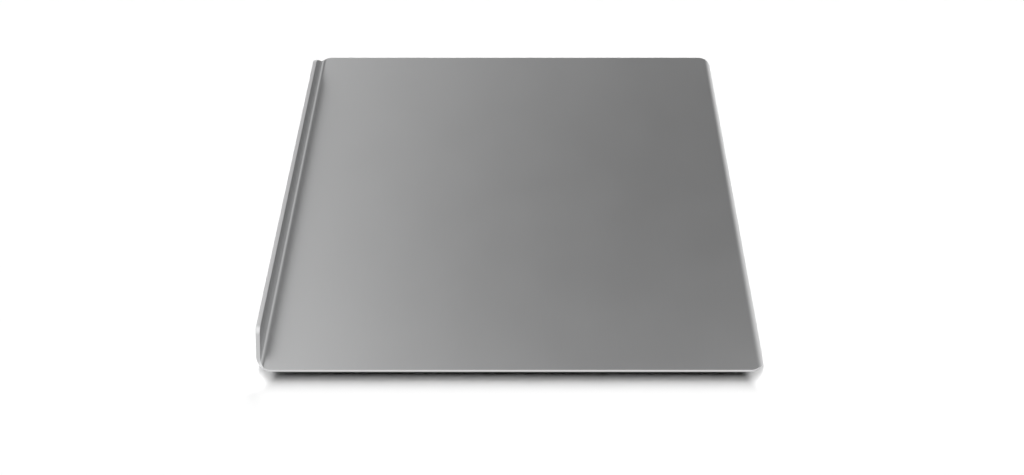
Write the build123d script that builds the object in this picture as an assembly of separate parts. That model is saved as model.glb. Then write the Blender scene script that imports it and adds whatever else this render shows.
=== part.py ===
from build123d import *

import os
from math import radians

# Cookie sheet folded from one aluminium blank. The blank's corners are cut off at 45 degrees, then
# its left edge is bent up into a lip and its right edge is bent down into a short round nose.
# Millimetres. +X is right, +Y is back, +Z is up, and the tip of the nose lies on z = 0.

sheet_width = 354.0  # over both bent edges
sheet_depth = 325.0  # front edge to back edge
thickness = 3.0
bend_radius = 3.0  # inside of both bends
lip_height = 20.0  # underside of the plate to the top of the lip
cut_start = 1.3  # how far inboard of the bend line a corner cut leaves the front or back edge
cut_round = 9.0  # rounding of both ends of a corner cut

bend_angle = 90.0  # degrees, the same for both bends
neutral_share = 0.44  # share of the thickness, from the inside of a bend, that keeps its length
station_count = 12  # places round a bend where the blank's depth is laid off

outer_radius = bend_radius + thickness
bend_length = (bend_radius + neutral_share * thickness) * radians(bend_angle)
lip_run = lip_height - outer_radius  # straight part of the lip above its bend
bend_line = sheet_width / 2 - outer_radius  # middle of the sheet to the start of either bend
blank_end = bend_line + bend_length + lip_run
corner_cut = blank_end - bend_line + cut_start  # both legs of the 45 degree cut

underside = bend_radius  # the nose ends level with the centre of its own bend
middle = underside + thickness / 2
hinge_height = underside + outer_radius  # centre of the lip's bend

# The flat blank, with the lip's outline at both ends. The nose uses only the first part of its end.
blank = Rectangle(2 * blank_end, sheet_depth)
blank = chamfer(blank.vertices(), corner_cut)
blank = fillet(blank.vertices(), cut_round)

plate = Pos(0, 0, underside) * extrude(blank & Rectangle(2 * bend_line, sheet_depth), thickness)

# The lip's bend is a full strip of sheet turned about its hinge line. A loft through the blank's
# depths trims it, and reaches one station past the strip at each end.
bend_start = Plane((-bend_line, 0, middle), x_dir=(0, 1, 0), z_dir=(1, 0, 0))
hinge = Axis((-bend_line, 0, hinge_height), (0, 1, 0))
strip = revolve(bend_start * Rectangle(sheet_depth, thickness), hinge, bend_angle)
stations = []
for station in range(-1, station_count + 2):
    share = station / station_count
    across = -bend_line - share * bend_length
    depth = (Line((across, -sheet_depth), (across, sheet_depth)) & blank).length
    section = bend_start * Rectangle(depth, thickness + bend_radius)
    stations.append(section.rotate(hinge, share * bend_angle))
bend = strip & loft(stations)

# The straight part of the lip is cut from the end of the blank and stood on the end of its bend.
lip_blank = blank & Pos(lip_run / 2 - blank_end, 0) * Rectangle(lip_run, sheet_depth)
lip = Pos(blank_end - lip_run, 0) * extrude(lip_blank, thickness)
lip = Pos(-bend_line - outer_radius, 0, hinge_height) * Rot(0, bend_angle, 0) * lip

# The nose is the same bend turned over about the middle of the plate.
nose = bend.rotate(Axis((0, 0, middle), (0, 1, 0)), 180)

sheet = plate + bend + lip + nose
sheet.label = "sheet"

os.makedirs("parts", exist_ok=True)
export_step(sheet, "parts/sheet.step")
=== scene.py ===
from math import atan, cos, pi, radians, sin, tan

import bpy
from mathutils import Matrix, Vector


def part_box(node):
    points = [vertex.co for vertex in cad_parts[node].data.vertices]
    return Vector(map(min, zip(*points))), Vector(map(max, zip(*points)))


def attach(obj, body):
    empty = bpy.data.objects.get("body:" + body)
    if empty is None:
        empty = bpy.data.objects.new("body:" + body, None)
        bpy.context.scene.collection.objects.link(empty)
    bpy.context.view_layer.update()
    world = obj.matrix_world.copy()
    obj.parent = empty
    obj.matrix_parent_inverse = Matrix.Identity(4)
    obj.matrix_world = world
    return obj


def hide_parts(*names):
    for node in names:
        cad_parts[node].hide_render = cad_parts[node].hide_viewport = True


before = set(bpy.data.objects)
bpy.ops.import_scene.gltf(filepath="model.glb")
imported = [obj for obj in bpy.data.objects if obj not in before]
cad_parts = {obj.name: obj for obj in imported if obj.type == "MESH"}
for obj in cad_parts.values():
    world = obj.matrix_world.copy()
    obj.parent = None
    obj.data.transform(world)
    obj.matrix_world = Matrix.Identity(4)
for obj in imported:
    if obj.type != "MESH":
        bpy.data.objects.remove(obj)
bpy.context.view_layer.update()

# Cookie sheet folded from one aluminium blank, with an upright lip on the left and a rounded nose on
# the right. Metres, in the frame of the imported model. +X is right, +Y is back, +Z is up.

photo = {
    "width": 1024,  # pixels
    "height": 475,
    "sensor": 36.0,  # millimetres
    "focal": 970.2,  # pixels
    "centreX": 527.82,  # pixels, where the camera's axis meets the picture
    "centreY": 199.02,
    "pitch": 49.371,  # degrees below the horizon
    "place": (0.01169, -0.50928, 0.59161),
    "nearClip": 0.01,
    "farClip": 100.0,
}


def makeCamera():
    camera = bpy.data.objects.new("camera", bpy.data.cameras.new("camera"))
    bpy.context.scene.collection.objects.link(camera)
    camera.location = photo["place"]
    camera.rotation_euler = (radians(90 - photo["pitch"]), 0, 0)
    camera.data.sensor_width = photo["sensor"]
    camera.data.lens = photo["focal"] / photo["width"] * photo["sensor"]
    camera.data.shift_x = (photo["width"] / 2 - photo["centreX"]) / photo["width"]
    camera.data.shift_y = (photo["centreY"] - photo["height"] / 2) / photo["width"]
    camera.data.clip_start = photo["nearClip"]
    camera.data.clip_end = photo["farClip"]
    bpy.context.scene.camera = camera


# Shader helpers


def addNode(tree, kind, **settings):
    node = tree.nodes.new(kind)
    for name, value in settings.items():
        setattr(node, name, value)
    return node


def mathNode(tree, operation, first, second=None):
    node = addNode(tree, "ShaderNodeMath", operation=operation)
    for socket, value in zip(node.inputs, (first, second)):
        if value is None:
            continue
        if isinstance(value, (int, float)):
            socket.default_value = value
        else:
            tree.links.new(value, socket)
    return node.outputs[0]


def makeGroup(name, inputs, outputs):
    group = bpy.data.node_groups.new(name, "ShaderNodeTree")
    for label, value in inputs.items():
        socket = group.interface.new_socket(label, in_out="INPUT", socket_type="NodeSocketFloat")
        socket.default_value = value
    for label in outputs:
        group.interface.new_socket(label, in_out="OUTPUT", socket_type="NodeSocketFloat")
    return group, addNode(group, "NodeGroupInput"), addNode(group, "NodeGroupOutput")


grainPattern = {
    "inputs": {"Across": 5200.0, "Along": 60.0, "Cloud": 22.0},  # sizes of the noise, per metre
    "lineDetail": 3.0,
    "lineRoughness": 0.65,
    "cloudDetail": 4.0,
}


# Fine lines that the rolls leave from front to back, and a slow cloudy change under them.
def makeGrainGroup():
    group, source, result = makeGroup("rolledGrain", grainPattern["inputs"], ("Lines", "Cloudy"))
    place = addNode(group, "ShaderNodeTexCoord").outputs["Object"]
    axes = addNode(group, "ShaderNodeCombineXYZ")
    group.links.new(source.outputs["Across"], axes.inputs["X"])
    group.links.new(source.outputs["Along"], axes.inputs["Y"])
    group.links.new(source.outputs["Across"], axes.inputs["Z"])
    stretched = addNode(group, "ShaderNodeVectorMath", operation="MULTIPLY")
    group.links.new(place, stretched.inputs[0])
    group.links.new(axes.outputs[0], stretched.inputs[1])
    lines = addNode(group, "ShaderNodeTexNoise")
    lines.inputs["Scale"].default_value = 1.0
    lines.inputs["Detail"].default_value = grainPattern["lineDetail"]
    lines.inputs["Roughness"].default_value = grainPattern["lineRoughness"]
    group.links.new(stretched.outputs[0], lines.inputs["Vector"])
    cloud = addNode(group, "ShaderNodeTexNoise")
    cloud.inputs["Detail"].default_value = grainPattern["cloudDetail"]
    group.links.new(place, cloud.inputs["Vector"])
    group.links.new(source.outputs["Cloud"], cloud.inputs["Scale"])
    group.links.new(lines.outputs["Fac"], result.inputs["Lines"])
    group.links.new(cloud.outputs["Fac"], result.inputs["Cloudy"])
    return group


scratchPattern = {
    "inputs": {"Scale": 24.0, "Thin": 0.0014, "Turn": 0.5},  # cells per metre, line width, radians
    "stretch": (1.0, 0.4, 1.0),
    "patchScale": 60.0,
    "patchStart": 0.56,  # scratches fade in between these two values of the patch noise
    "patchFull": 0.66,
}


# Hairline scratches from handling: thin cell borders of a stretched pattern, kept in patches.
def makeScratchGroup():
    group, source, result = makeGroup("hairlines", scratchPattern["inputs"], ("Mask",))
    place = addNode(group, "ShaderNodeTexCoord").outputs["Object"]
    turned = addNode(group, "ShaderNodeVectorRotate", rotation_type="Z_AXIS")
    group.links.new(place, turned.inputs["Vector"])
    group.links.new(source.outputs["Turn"], turned.inputs["Angle"])
    stretched = addNode(group, "ShaderNodeVectorMath", operation="MULTIPLY")
    stretched.inputs[1].default_value = scratchPattern["stretch"]
    group.links.new(turned.outputs[0], stretched.inputs[0])
    cells = addNode(group, "ShaderNodeTexVoronoi", feature="DISTANCE_TO_EDGE")
    group.links.new(stretched.outputs[0], cells.inputs["Vector"])
    group.links.new(source.outputs["Scale"], cells.inputs["Scale"])
    line = mathNode(group, "LESS_THAN", cells.outputs["Distance"], source.outputs["Thin"])
    patch = addNode(group, "ShaderNodeTexNoise")
    patch.inputs["Scale"].default_value = scratchPattern["patchScale"]
    group.links.new(place, patch.inputs["Vector"])
    spread = addNode(group, "ShaderNodeMapRange")
    spread.inputs["From Min"].default_value = scratchPattern["patchStart"]
    spread.inputs["From Max"].default_value = scratchPattern["patchFull"]
    group.links.new(patch.outputs["Fac"], spread.inputs["Value"])
    group.links.new(mathNode(group, "MULTIPLY", line, spread.outputs[0]), result.inputs["Mask"])
    return group


def addGroup(tree, group, **values):
    node = addNode(tree, "ShaderNodeGroup", node_tree=group)
    for name, value in values.items():
        node.inputs[name].default_value = value
    return node


def newMetal(name):
    material = bpy.data.materials.new(name)
    material.use_nodes = True
    shader = material.node_tree.nodes["Principled BSDF"]
    shader.inputs["Metallic"].default_value = 1.0
    return material, material.node_tree, shader


# a value that swings evenly about a middle as a 0 to 1 pattern changes
def swingAbout(tree, pattern, middle, swing):
    value = mathNode(tree, "MULTIPLY_ADD", pattern, 2 * swing)
    value.node.inputs[2].default_value = middle - swing
    return value


def shadeColour(tree, shader, colour, factor):
    scaled = addNode(tree, "ShaderNodeVectorMath", operation="SCALE")
    scaled.inputs[0].default_value = colour
    tree.links.new(factor, scaled.inputs["Scale"])
    tree.links.new(scaled.outputs[0], shader.inputs["Base Color"])


def addBump(tree, shader, height, depth):
    bump = addNode(tree, "ShaderNodeBump")
    bump.inputs["Strength"].default_value = 1.0
    bump.inputs["Distance"].default_value = depth
    tree.links.new(height, bump.inputs["Height"])
    tree.links.new(bump.outputs[0], shader.inputs["Normal"])


rolledFace = {
    "colour": (0.61, 0.612, 0.615),
    "shadeSwing": 0.025,
    "roughness": 0.32,
    "lineSwing": 0.02,
    "cloudSwing": 0.02,
    "scratchRoughness": 0.06,
    "crossing": {"Scale": 15.0, "Thin": 0.0009, "Turn": -0.7},  # a second, sparser set of scratches
    "grainDepth": 0.000002,  # metres
}


def makeRolledFace(grainGroup, scratchGroup):
    material, tree, shader = newMetal("satinAluminium")
    grain = addGroup(tree, grainGroup)
    scratch = addGroup(tree, scratchGroup)
    crossing = addGroup(tree, scratchGroup, **rolledFace["crossing"])
    marks = mathNode(tree, "MAXIMUM", scratch.outputs["Mask"], crossing.outputs["Mask"])
    shade = swingAbout(tree, grain.outputs["Lines"], 1.0, rolledFace["shadeSwing"])
    shadeColour(tree, shader, rolledFace["colour"], shade)
    rough = swingAbout(tree, grain.outputs["Lines"], rolledFace["roughness"], rolledFace["lineSwing"])
    cloudy = swingAbout(tree, grain.outputs["Cloudy"], 0.0, rolledFace["cloudSwing"])
    worn = mathNode(tree, "MULTIPLY", marks, rolledFace["scratchRoughness"])
    rough = mathNode(tree, "ADD", mathNode(tree, "ADD", rough, cloudy), worn)
    tree.links.new(rough, shader.inputs["Roughness"])
    height = mathNode(tree, "SUBTRACT", grain.outputs["Lines"], marks)
    addBump(tree, shader, height, rolledFace["grainDepth"])
    return material


cutEdge = {
    "colour": (0.65, 0.652, 0.655),
    "shadeSwing": 0.03,
    "roughness": 0.34,
    "roughSwing": 0.06,
    "specks": {"Across": 2400.0, "Along": 2400.0, "Cloud": 90.0},
    "speckDepth": 0.000004,  # metres
}


# the blank's cut edges are a little brighter and coarser than the rolled faces
def makeCutEdge(grainGroup):
    material, tree, shader = newMetal("cutAluminium")
    grain = addGroup(tree, grainGroup, **cutEdge["specks"])
    shade = swingAbout(tree, grain.outputs["Cloudy"], 1.0, cutEdge["shadeSwing"])
    shadeColour(tree, shader, cutEdge["colour"], shade)
    rough = swingAbout(tree, grain.outputs["Lines"], cutEdge["roughness"], cutEdge["roughSwing"])
    tree.links.new(rough, shader.inputs["Roughness"])
    addBump(tree, shader, grain.outputs["Lines"], cutEdge["speckDepth"])
    return material


# The folded sheet

sheet = {
    "thickness": 0.003,
    "bendRadius": 0.003,  # inside of both bends
    "cutStart": 0.0013,  # the corner cuts start this far inboard of a bend line
    "cutRound": 0.009,  # rounding of both ends of a corner cut
    "cutAngle": 45.0,  # degrees
    "bendAngle": 90.0,
    "neutralShare": 0.44,  # share of the thickness, from the inside of a bend, that keeps its length
    "bendSteps": 12,
    "roundSteps": 8,
    "topArris": 0.00015,  # rounding of the cut edges on the plate's upper face
    "lowArris": 0.0005,  # and on its underside
    "arrisSteps": 3,
    "edgeShare": 0.1,  # share of the thickness within which a point counts as on an edge
    "tipShare": 0.2,  # and as on the nose's tip
    "roundedTipShare": 0.005,  # and as on the tip once its edges are rounded
}


def selectEdges(piece, wanted):
    bpy.ops.mesh.select_mode(type="EDGE")
    bpy.ops.mesh.select_all(action="DESELECT")
    bpy.ops.object.mode_set(mode="OBJECT")
    mesh = piece.data
    for edge in mesh.edges:
        edge.select = all(wanted(mesh.vertices[end].co) for end in edge.vertices)
    bpy.ops.object.mode_set(mode="EDIT")


def applyModifier(piece, kind, **settings):
    modifier = piece.modifiers.new(kind.lower(), kind)
    for name, value in settings.items():
        setattr(modifier, name, value)
    bpy.ops.object.modifier_apply(modifier=modifier.name)


# squares off the nose's tip on the floor
def flattenTip(piece, share):
    bpy.ops.object.mode_set(mode="EDIT")
    selectEdges(piece, lambda place: place.z < share * sheet["thickness"])
    bpy.ops.transform.resize(value=(1, 1, 0), center_override=(0, 0, 0))
    bpy.ops.object.mode_set(mode="OBJECT")


# the edges round all faces of one material, as pairs of points
def edgesOf(mesh, slot):
    faces = [face for face in mesh.polygons if face.material_index == slot]
    return {tuple(sorted(pair)) for face in faces for pair in face.edge_keys}


# Gives the edges between a skin and the cut rim their share of the wider rounding. Solidify puts the
# upper skin's points first.
def weighArris(piece, skinSize):
    mesh = piece.data
    sharp = edgesOf(mesh, 0) & edgesOf(mesh, 1)
    weights = mesh.attributes.new("bevel_weight_edge", "FLOAT", "EDGE")
    for edge, weight in zip(mesh.edges, weights.data):
        pair = tuple(sorted(edge.vertices))
        if pair in sharp:
            weight.value = 1.0 if pair[0] >= skinSize else sheet["topArris"] / sheet["lowArris"]


def makeSheet(faceMetal, edgeMetal):
    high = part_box("sheet")[1]  # the right, back and top of the sheet
    thickness, bendRadius, cutRound = sheet["thickness"], sheet["bendRadius"], sheet["cutRound"]
    bendAngle, cutAngle = radians(sheet["bendAngle"]), radians(sheet["cutAngle"])
    outerRadius = bendRadius + thickness
    middle = bendRadius + thickness / 2  # height of the plate's middle, and its distance from a hinge
    bendLine = high.x - outerRadius
    halfDepth = high.y
    bendLength = (bendRadius + sheet["neutralShare"] * thickness) * bendAngle
    lipRun = high.z - bendRadius - outerRadius
    lipEnd = bendLength + lipRun
    tangent = cutRound * tan(cutAngle / 2)
    cutFoot = -sheet["cutStart"] - tangent  # where the outline starts to leave the front edge
    footEnd = cutFoot + cutRound * sin(cutAngle)
    topStart = lipEnd - cutRound * (1 - sin(cutAngle))
    topDepth = lipEnd + sheet["cutStart"] + tangent

    # how far the outline lies inside the front edge, at a distance run past the bend line
    def setBack(run):
        if run <= cutFoot:
            return 0.0
        if run < footEnd:
            return cutRound - (cutRound**2 - (run - cutFoot) ** 2) ** 0.5
        if run <= topStart:
            return run + sheet["cutStart"]
        return topDepth - max(cutRound**2 - (run - lipEnd + cutRound) ** 2, 0) ** 0.5

    flatRuns = [cutFoot * (1 - step / sheet["roundSteps"]) for step in range(1, sheet["roundSteps"] + 1)]
    bendRuns = [bendLength * step / sheet["bendSteps"] for step in range(1, sheet["bendSteps"] + 1)]
    turns = [cutAngle * (1 + step / sheet["roundSteps"]) for step in range(sheet["roundSteps"] + 1)]
    lipRuns = [lipEnd - cutRound * (1 - sin(turn)) for turn in turns]

    flatHalf = bendLine + cutFoot
    bpy.ops.object.select_all(action="DESELECT")
    bpy.ops.mesh.primitive_plane_add(size=1, location=(0, 0, 0))
    piece = bpy.context.object
    piece.name = piece.data.name = "foldedSheet"
    piece.data.materials.append(faceMetal)
    piece.data.materials.append(edgeMetal)
    bpy.ops.object.mode_set(mode="EDIT")
    bpy.ops.transform.resize(value=(2 * flatHalf, 2 * halfDepth, 1))
    bpy.ops.transform.translate(value=(0, 0, middle))

    for side in (-1, 1):
        # the hinge is over the plate for the lip and under it for the nose
        hinge = (side * bendLine, 0, middle * (1 - side))
        nearEdge = thickness * sheet["edgeShare"]
        selectEdges(piece, lambda place: abs(place.x - side * flatHalf) < nearEdge)
        last = cutFoot
        stations = [(run, "flat") for run in flatRuns] + [(run, "bend") for run in bendRuns]
        if side < 0:
            stations += [(run, "lip") for run in lipRuns]
        for run, zone in stations:
            step = run - last
            shift = {"flat": (side * step, 0, 0), "bend": (0, 0, 0), "lip": (0, 0, step)}[zone]
            bpy.ops.mesh.extrude_region_move(TRANSFORM_OT_translate={"value": shift})
            if zone == "bend":
                turn = -bendAngle / sheet["bendSteps"]  # with no window, rotate turns the other way
                bpy.ops.transform.rotate(value=turn, orient_axis="Y", center_override=hinge)
            stretch = (halfDepth - setBack(run)) / (halfDepth - setBack(last))
            bpy.ops.transform.resize(value=(1, stretch, 1), center_override=(0, 0, 0))
            last = run

    bpy.ops.object.mode_set(mode="OBJECT")
    skinSize = len(piece.data.vertices)
    applyModifier(
        piece,
        "SOLIDIFY",
        thickness=thickness,
        offset=0,
        use_even_offset=True,
        material_offset_rim=1,
    )
    bpy.ops.object.mode_set(mode="EDIT")
    bpy.ops.mesh.select_all(action="SELECT")
    bpy.ops.mesh.normals_make_consistent(inside=False)
    bpy.ops.object.mode_set(mode="OBJECT")
    flattenTip(piece, sheet["tipShare"])
    weighArris(piece, skinSize)
    applyModifier(
        piece,
        "BEVEL",
        width=sheet["lowArris"],
        segments=sheet["arrisSteps"],
        limit_method="WEIGHT",
        use_clamp_overlap=False,
    )
    flattenTip(piece, sheet["roundedTipShare"])
    bpy.ops.object.shade_smooth()
    applyModifier(piece, "WEIGHTED_NORMAL", mode="FACE_AREA", keep_sharp=False)
    return piece


# Floor, backdrop and light

studio = {
    "floorSize": 40.0,
    "floorColour": (0.9, 0.9, 0.9, 1.0),
    "glowStart": 0.0008,  # the white that the metal mirrors starts and is full this far off the sheet
    "glowFull": 0.0032,
    "paintedReflectionBack": -0.13,  # places on Y between which the glow that the metal mirrors rises from 1 to its full gain: a brighter band along the front edge, a painted reflection on the sheet's front face
    "paintedReflectionFront": -0.16,
    "paintedReflectionGain": 1.22,
    "level": 1.13,  # all lamps together, where 1 shows a white floor as white
    # a strip of lamps behind the sheet, from low to overhead: elevation and spread in degrees, share
    "strip": (
        (26.0, 12.0, 0.17),
        (36.0, 13.0, 0.22),
        (48.0, 16.0, 0.31),
        (64.0, 20.0, 0.17),
        (82.0, 24.0, 0.13),
    ),
    "cornerX": 0.177,  # where the spots that lift the shadow at both front corners point
    "cornerY": -0.163,
    "cornerReach": 0.0145,  # radius that each lights
    "cornerHeight": 0.25,
    "cornerOffset": 0.12,  # how far the spots stand out to the side and the front
    "cornerPower": 2.6,  # watts
}


# 1 for what the metal mirrors straight into the camera, 0 for every other ray
def mirroredRays(tree):
    rays = addNode(tree, "ShaderNodeLightPath")
    shiny = mathNode(tree, "MAXIMUM", rays.outputs["Is Glossy Ray"], rays.outputs["Is Transmission Ray"])
    direct = mathNode(tree, "LESS_THAN", rays.outputs["Diffuse Depth"], 0.5)  # no bounce off the floor
    return mathNode(tree, "MULTIPLY", shiny, direct)


# 0 under the sheet and close to it, 1 further off
def offSheet(tree):
    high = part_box("sheet")[1]
    place = addNode(tree, "ShaderNodeTexCoord").outputs["Object"]
    for operation, second in (("ABSOLUTE", None), ("SUBTRACT", (high.x, high.y, 0)), ("MAXIMUM", (0, 0, 0))):
        step = addNode(tree, "ShaderNodeVectorMath", operation=operation)
        tree.links.new(place, step.inputs[0])
        if second:
            step.inputs[1].default_value = second
        place = step.outputs[0]
    length = addNode(tree, "ShaderNodeVectorMath", operation="LENGTH")
    tree.links.new(place, length.inputs[0])
    spread = addNode(tree, "ShaderNodeMapRange", interpolation_type="SMOOTHSTEP")
    spread.inputs["From Min"].default_value = studio["glowStart"]
    spread.inputs["From Max"].default_value = studio["glowFull"]
    tree.links.new(length.outputs["Value"], spread.inputs["Value"])
    return spread.outputs[0]


# The metal mirrors the floor as a white glow, brighter in a band along the front edge as a painted
# reflection on the sheet's front face, and close to the sheet as the lamps light it.
def makeFloor():
    bpy.ops.object.select_all(action="DESELECT")
    bpy.ops.mesh.primitive_plane_add(size=studio["floorSize"], location=(0, 0, 0))
    floor = bpy.context.object
    floor.name = "floor"
    material = bpy.data.materials.new("whiteFloor")
    material.use_nodes = True
    tree = material.node_tree
    shader = tree.nodes["Principled BSDF"]
    shader.inputs["Base Color"].default_value = studio["floorColour"]
    shader.inputs["Roughness"].default_value = 1.0
    shader.inputs["Specular IOR Level"].default_value = 0.0
    glow = addNode(tree, "ShaderNodeEmission")
    axes = addNode(tree, "ShaderNodeSeparateXYZ")
    tree.links.new(addNode(tree, "ShaderNodeTexCoord").outputs["Object"], axes.inputs[0])
    # the glow's strength rises towards the front edge: a painted reflection for the sheet's front face
    gain = addNode(tree, "ShaderNodeMapRange")
    gain.inputs["From Min"].default_value = studio["paintedReflectionBack"]
    gain.inputs["From Max"].default_value = studio["paintedReflectionFront"]
    gain.inputs["To Min"].default_value = 1.0
    gain.inputs["To Max"].default_value = studio["paintedReflectionGain"]
    tree.links.new(axes.outputs["Y"], gain.inputs["Value"])
    tree.links.new(gain.outputs[0], glow.inputs["Strength"])
    mix = addNode(tree, "ShaderNodeMixShader")
    tree.links.new(mathNode(tree, "MULTIPLY", mirroredRays(tree), offSheet(tree)), mix.inputs[0])
    tree.links.new(shader.outputs[0], mix.inputs[1])
    tree.links.new(glow.outputs[0], mix.inputs[2])
    tree.links.new(mix.outputs[0], tree.nodes["Material Output"].inputs["Surface"])
    floor.data.materials.append(material)


# The lamps light only the floor. The metal mirrors the world instead.
def addLamp(name, kind):
    lamp = bpy.data.objects.new(name, bpy.data.lights.new(name, kind))
    bpy.context.scene.collection.objects.link(lamp)
    lamp.visible_glossy = False
    return lamp


def makeLamps():
    for elevation, spread, share in studio["strip"]:
        sun = addLamp("strip", "SUN")
        sun.data.energy = studio["level"] * share * pi / sin(radians(elevation))
        sun.data.angle = radians(spread)
        sun.rotation_euler = (radians(elevation - 90), 0, 0)  # shines down and towards the camera
    for side in (-1, 1):
        spot = addLamp("corner", "SPOT")
        aim = Vector((side * studio["cornerX"], studio["cornerY"], 0))
        offset = studio["cornerOffset"]
        spot.location = aim + Vector((side * offset, -offset, studio["cornerHeight"]))
        spot.rotation_euler = (spot.location - aim).to_track_quat("Z", "Y").to_euler()
        spot.data.energy = studio["cornerPower"]
        spot.data.spot_size = 2 * atan(studio["cornerReach"] / (spot.location - aim).length)
        spot.data.spot_blend = 1.0


# The turn goes from back to right, in degrees. A higher tightness makes a smaller patch.
backdrop = {
    "level": 1.10,  # strength all round, where 1 is white
    "patches": (
        # a bright wall on the left
        {"turn": -68.8, "elevation": 50.1, "tightness": 8.0, "change": 0.97},
        # the dark room behind
        {"turn": 28.6, "elevation": 32.0, "tightness": 8.0, "change": -0.66},
        {"turn": -11.4, "elevation": 61.1, "tightness": 7.0, "change": -0.89},
        # a ceiling over the camera
        {"turn": 180.0, "elevation": 60.0, "tightness": 5.0, "change": 0.37},
        # the darker room in front and on both sides
        {"turn": 165.0, "elevation": 12.0, "tightness": 4.0, "change": -0.60},
        {"turn": 110.0, "elevation": 12.0, "tightness": 5.0, "change": -0.40},
        {"turn": -125.0, "elevation": 15.0, "tightness": 4.0, "change": -0.30},
    ),
}


# The world that the metal mirrors is even, with soft patches. The camera sees it white.
def makeWorld():
    world = bpy.data.worlds.new("studio")
    bpy.context.scene.world = world
    world.use_nodes = True
    tree = world.node_tree
    background = tree.nodes["Background"]
    background.inputs["Color"].default_value = (1, 1, 1, 1)
    outward = addNode(tree, "ShaderNodeTexCoord").outputs["Generated"]
    shade = backdrop["level"]
    for patch in backdrop["patches"]:
        turn, elevation = radians(patch["turn"]), radians(patch["elevation"])
        centre = (sin(turn) * cos(elevation), cos(turn) * cos(elevation), sin(elevation))
        facing = addNode(tree, "ShaderNodeVectorMath", operation="DOT_PRODUCT")
        facing.inputs[1].default_value = centre
        tree.links.new(outward, facing.inputs[0])
        away = mathNode(tree, "SUBTRACT", facing.outputs["Value"], 1.0)
        away = mathNode(tree, "MULTIPLY", away, patch["tightness"])
        change = mathNode(tree, "MULTIPLY", mathNode(tree, "EXPONENT", away), patch["change"])
        shade = mathNode(tree, "ADD", change, shade)
    glossy = mathNode(tree, "MULTIPLY", shade, mirroredRays(tree))
    seen = mathNode(tree, "ADD", glossy, addNode(tree, "ShaderNodeLightPath").outputs["Is Camera Ray"])
    tree.links.new(seen, background.inputs["Strength"])


bpy.context.scene.view_settings.view_transform = "Standard"
makeCamera()
print("camera placed")
grainGroup = makeGrainGroup()
piece = makeSheet(makeRolledFace(grainGroup, makeScratchGroup()), makeCutEdge(grainGroup))
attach(piece, "root")
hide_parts("sheet")
print("sheet folded:", len(piece.data.vertices), "points")
makeFloor()
makeLamps()
makeWorld()
print("floor and lights set")
